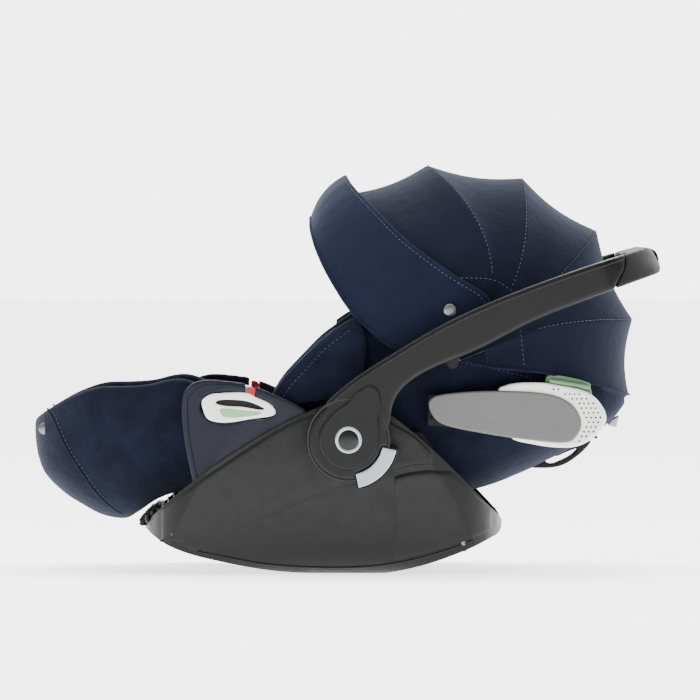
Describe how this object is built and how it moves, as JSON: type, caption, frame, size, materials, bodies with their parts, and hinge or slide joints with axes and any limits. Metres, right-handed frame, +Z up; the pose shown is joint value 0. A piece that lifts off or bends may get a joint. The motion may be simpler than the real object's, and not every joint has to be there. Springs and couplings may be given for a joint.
{
  "type": "infant carrier car seat",
  "caption": "Rear-facing infant carrier seat with rocker base, swinging carry handle, lie-flat backrest, leg rest, folding sun canopy and side impact wings",
  "frame": {"origin": "under the middle of the bounding box, on the surface the carrier stands on", "axes": "+X towards the head end, +Y to the child's right, +Z up"},
  "size_m": [0.7524, 0.4378, 0.4891],
  "materials": {
    "adjuster_button": "matte plastic",
    "adjuster_plate": "matte plastic",
    "back_cushion": "fabric",
    "backrest_liner": "fabric",
    "backrest_shell": "matte plastic",
    "base_shell": "matte plastic",
    "belt_channels": "matte plastic",
    "belt_guides": "gloss plastic",
    "belt_hooks": "matte plastic",
    "bow_a": "brushed steel",
    "bow_b": "brushed steel",
    "bow_c": "brushed steel",
    "bow_d": "brushed steel",
    "bow_e": "brushed steel",
    "buckle": "matte plastic",
    "buckle_button": "gloss plastic",
    "buckle_tongues": "matte plastic",
    "canopy_knobs": "gloss plastic",
    "canopy_pins": "brushed steel",
    "canopy_skirt": "fabric",
    "crotch_anchor": "brushed steel",
    "crotch_pad": "fabric",
    "crotch_strap": "fabric",
    "front_apron": "rubber",
    "gore_ba": "fabric",
    "gore_cb": "fabric",
    "gore_dc": "fabric",
    "gore_ed": "fabric",
    "handle_arm_left": "matte plastic",
    "handle_arm_right": "matte plastic",
    "handle_grip": "rubber",
    "headrest": "fabric",
    "headrest_lever": "painted metal",
    "hub_axles": "brushed steel",
    "hub_badges": "chrome",
    "hub_covers": "matte plastic",
    "hub_housing_left": "matte plastic",
    "hub_housing_right": "matte plastic",
    "leg_hinge_pins": "brushed steel",
    "leg_rest_liner": "fabric",
    "leg_rest_shell": "fabric",
    "lock_bars": "brushed steel",
    "recline_brackets": "brushed steel",
    "recline_loop": "matte plastic",
    "release_button_left": "painted metal",
    "release_button_right": "painted metal",
    "seat_cushion": "fabric",
    "seat_pan": "matte plastic",
    "shoulder_pads": "fabric",
    "shoulder_straps": "fabric",
    "side_panel_left": "matte plastic",
    "side_panel_right": "matte plastic",
    "side_wing_left": "matte plastic",
    "side_wing_right": "matte plastic",
    "visor": "fabric",
    "wing_mounts": "matte plastic",
    "wing_pads": "fabric",
    "wing_pins": "brushed steel",
    "wing_trim_left": "brushed steel",
    "wing_trim_right": "brushed steel"
  },
  "bodies": {
    "base": {"base_shell": "base_shell", "lock_bars": "lock_bars", "side_panel_left": "side_panel_left", "side_panel_right": "side_panel_right", "belt_guides": "belt_guides", "belt_channels": "belt_channels", "hub_housing_left": "hub_housing_left", "hub_housing_right": "hub_housing_right", "hub_axles": "hub_axles", "leg_hinge_pins": "leg_hinge_pins", "front_apron": "front_apron", "seat_pan": "seat_pan", "seat_cushion": "seat_cushion", "crotch_strap": "crotch_strap", "crotch_anchor": "crotch_anchor", "crotch_pad": "crotch_pad", "buckle": "buckle", "buckle_tongues": "buckle_tongues", "adjuster_plate": "adjuster_plate"},
    "handle": {"handle_arm_left": "handle_arm_left", "handle_arm_right": "handle_arm_right", "handle_grip": "handle_grip", "hub_covers": "hub_covers", "hub_badges": "hub_badges"},
    "release_left": {"release_button_left": "release_button_left"},
    "release_right": {"release_button_right": "release_button_right"},
    "backrest": {"backrest_shell": "backrest_shell", "backrest_liner": "backrest_liner", "recline_brackets": "recline_brackets", "wing_pads": "wing_pads", "back_cushion": "back_cushion", "shoulder_pads": "shoulder_pads", "wing_pins": "wing_pins", "wing_mounts": "wing_mounts", "belt_hooks": "belt_hooks", "bow_e": "bow_e", "canopy_skirt": "canopy_skirt", "canopy_pins": "canopy_pins", "canopy_knobs": "canopy_knobs", "shoulder_straps": "shoulder_straps"},
    "leg_rest": {"leg_rest_shell": "leg_rest_shell", "leg_rest_liner": "leg_rest_liner"},
    "headrest": {"headrest": "headrest"},
    "recline_lever": {"recline_loop": "recline_loop"},
    "head_lever": {"headrest_lever": "headrest_lever"},
    "wing_left": {"side_wing_left": "side_wing_left", "wing_trim_left": "wing_trim_left"},
    "wing_right": {"side_wing_right": "side_wing_right", "wing_trim_right": "wing_trim_right"},
    "canopy_d": {"bow_d": "bow_d", "gore_ed": "gore_ed"},
    "canopy_c": {"bow_c": "bow_c", "gore_dc": "gore_dc"},
    "canopy_b": {"bow_b": "bow_b", "gore_cb": "gore_cb"},
    "canopy_a": {"bow_a": "bow_a", "gore_ba": "gore_ba", "visor": "visor"},
    "buckle_press": {"buckle_button": "buckle_button"},
    "adjuster_press": {"adjuster_button": "adjuster_button"}
  },
  "joints": [
    {"name": "handle_swing", "type": "hinge", "parent": "base", "child": "handle", "pos_m": [0.003, 0, 0.162], "axis": [0, -1, 0], "range_deg": [0, 68]},
    {"name": "release_left_press", "type": "slide", "parent": "handle", "child": "release_left", "axis": [0, 1, 0], "range_m": [0, 0.003], "stiffness_N_per_m": 400},
    {"name": "release_right_press", "type": "slide", "parent": "handle", "child": "release_right", "axis": [0, -1, 0], "range_m": [0, 0.003], "stiffness_N_per_m": 400},
    {"name": "recline", "type": "hinge", "parent": "base", "child": "backrest", "pos_m": [0.003, 0, 0.162], "axis": [0, -1, 0], "range_deg": [0, 24], "deforming": ["shoulder_straps"]},
    {"name": "leg_rest_lift", "type": "hinge", "parent": "base", "child": "leg_rest", "pos_m": [-0.168, 0, 0.106], "axis": [0, 1, 0], "range_deg": [0, 19.2]},
    {"name": "headrest_slide", "type": "slide", "parent": "backrest", "child": "headrest", "axis": [0.9645, 0, 0.264], "range_m": [0, 0.015]},
    {"name": "recline_lever", "type": "hinge", "parent": "backrest", "child": "recline_lever", "pos_m": [0.215, 0, 0.123], "axis": [0, 1, 0], "range_deg": [0, 5], "stiffness_Nm_per_rad": 1.5},
    {"name": "headrest_lever", "type": "slide", "parent": "backrest", "child": "head_lever", "axis": [0.5, 0, -0.866], "range_m": [0, 0.004], "stiffness_N_per_m": 600},
    {"name": "wing_left_swing", "type": "hinge", "parent": "backrest", "child": "wing_left", "pos_m": [0.104, -0.1705, 0.2], "axis": [0, 0, -1], "range_deg": [0, 28]},
    {"name": "wing_right_swing", "type": "hinge", "parent": "backrest", "child": "wing_right", "pos_m": [0.104, 0.1705, 0.2], "axis": [0, 0, 1], "range_deg": [0, 28]},
    {"name": "canopy_fold", "type": "hinge", "parent": "backrest", "child": "canopy_d", "pos_m": [0.127, 0, 0.253], "axis": [0, 1, 0], "range_deg": [0, 23], "deforming": ["gore_ed"]},
    {"name": "canopy_fold_c", "type": "hinge", "parent": "canopy_d", "child": "canopy_c", "pos_m": [0.127, 0, 0.253], "axis": [0, 1, 0], "range_deg": [0, 21.16], "deforming": ["gore_dc"]},
    {"name": "canopy_fold_b", "type": "hinge", "parent": "canopy_c", "child": "canopy_b", "pos_m": [0.127, 0, 0.253], "axis": [0, 1, 0], "range_deg": [0, 22.31], "deforming": ["gore_cb"]},
    {"name": "canopy_fold_a", "type": "hinge", "parent": "canopy_b", "child": "canopy_a", "pos_m": [0.127, 0, 0.253], "axis": [0, 1, 0], "range_deg": [0, 17.02], "deforming": ["gore_ba"]},
    {"name": "buckle_press", "type": "slide", "parent": "base", "child": "buckle_press", "axis": [1, 0, 0], "range_m": [0, 0.0012], "stiffness_N_per_m": 600},
    {"name": "adjuster_press", "type": "slide", "parent": "base", "child": "adjuster_press", "axis": [1, 0, 0], "range_m": [0, 0.0015], "stiffness_N_per_m": 600}
  ],
  "couplings": [
    {"joint": "leg_rest_lift", "follows": "recline", "ratio": 0.8},
    {"joint": "canopy_fold_c", "follows": "canopy_fold", "ratio": 0.92},
    {"joint": "canopy_fold_b", "follows": "canopy_fold", "ratio": 0.97},
    {"joint": "canopy_fold_a", "follows": "canopy_fold", "ratio": 0.74}
  ]
}
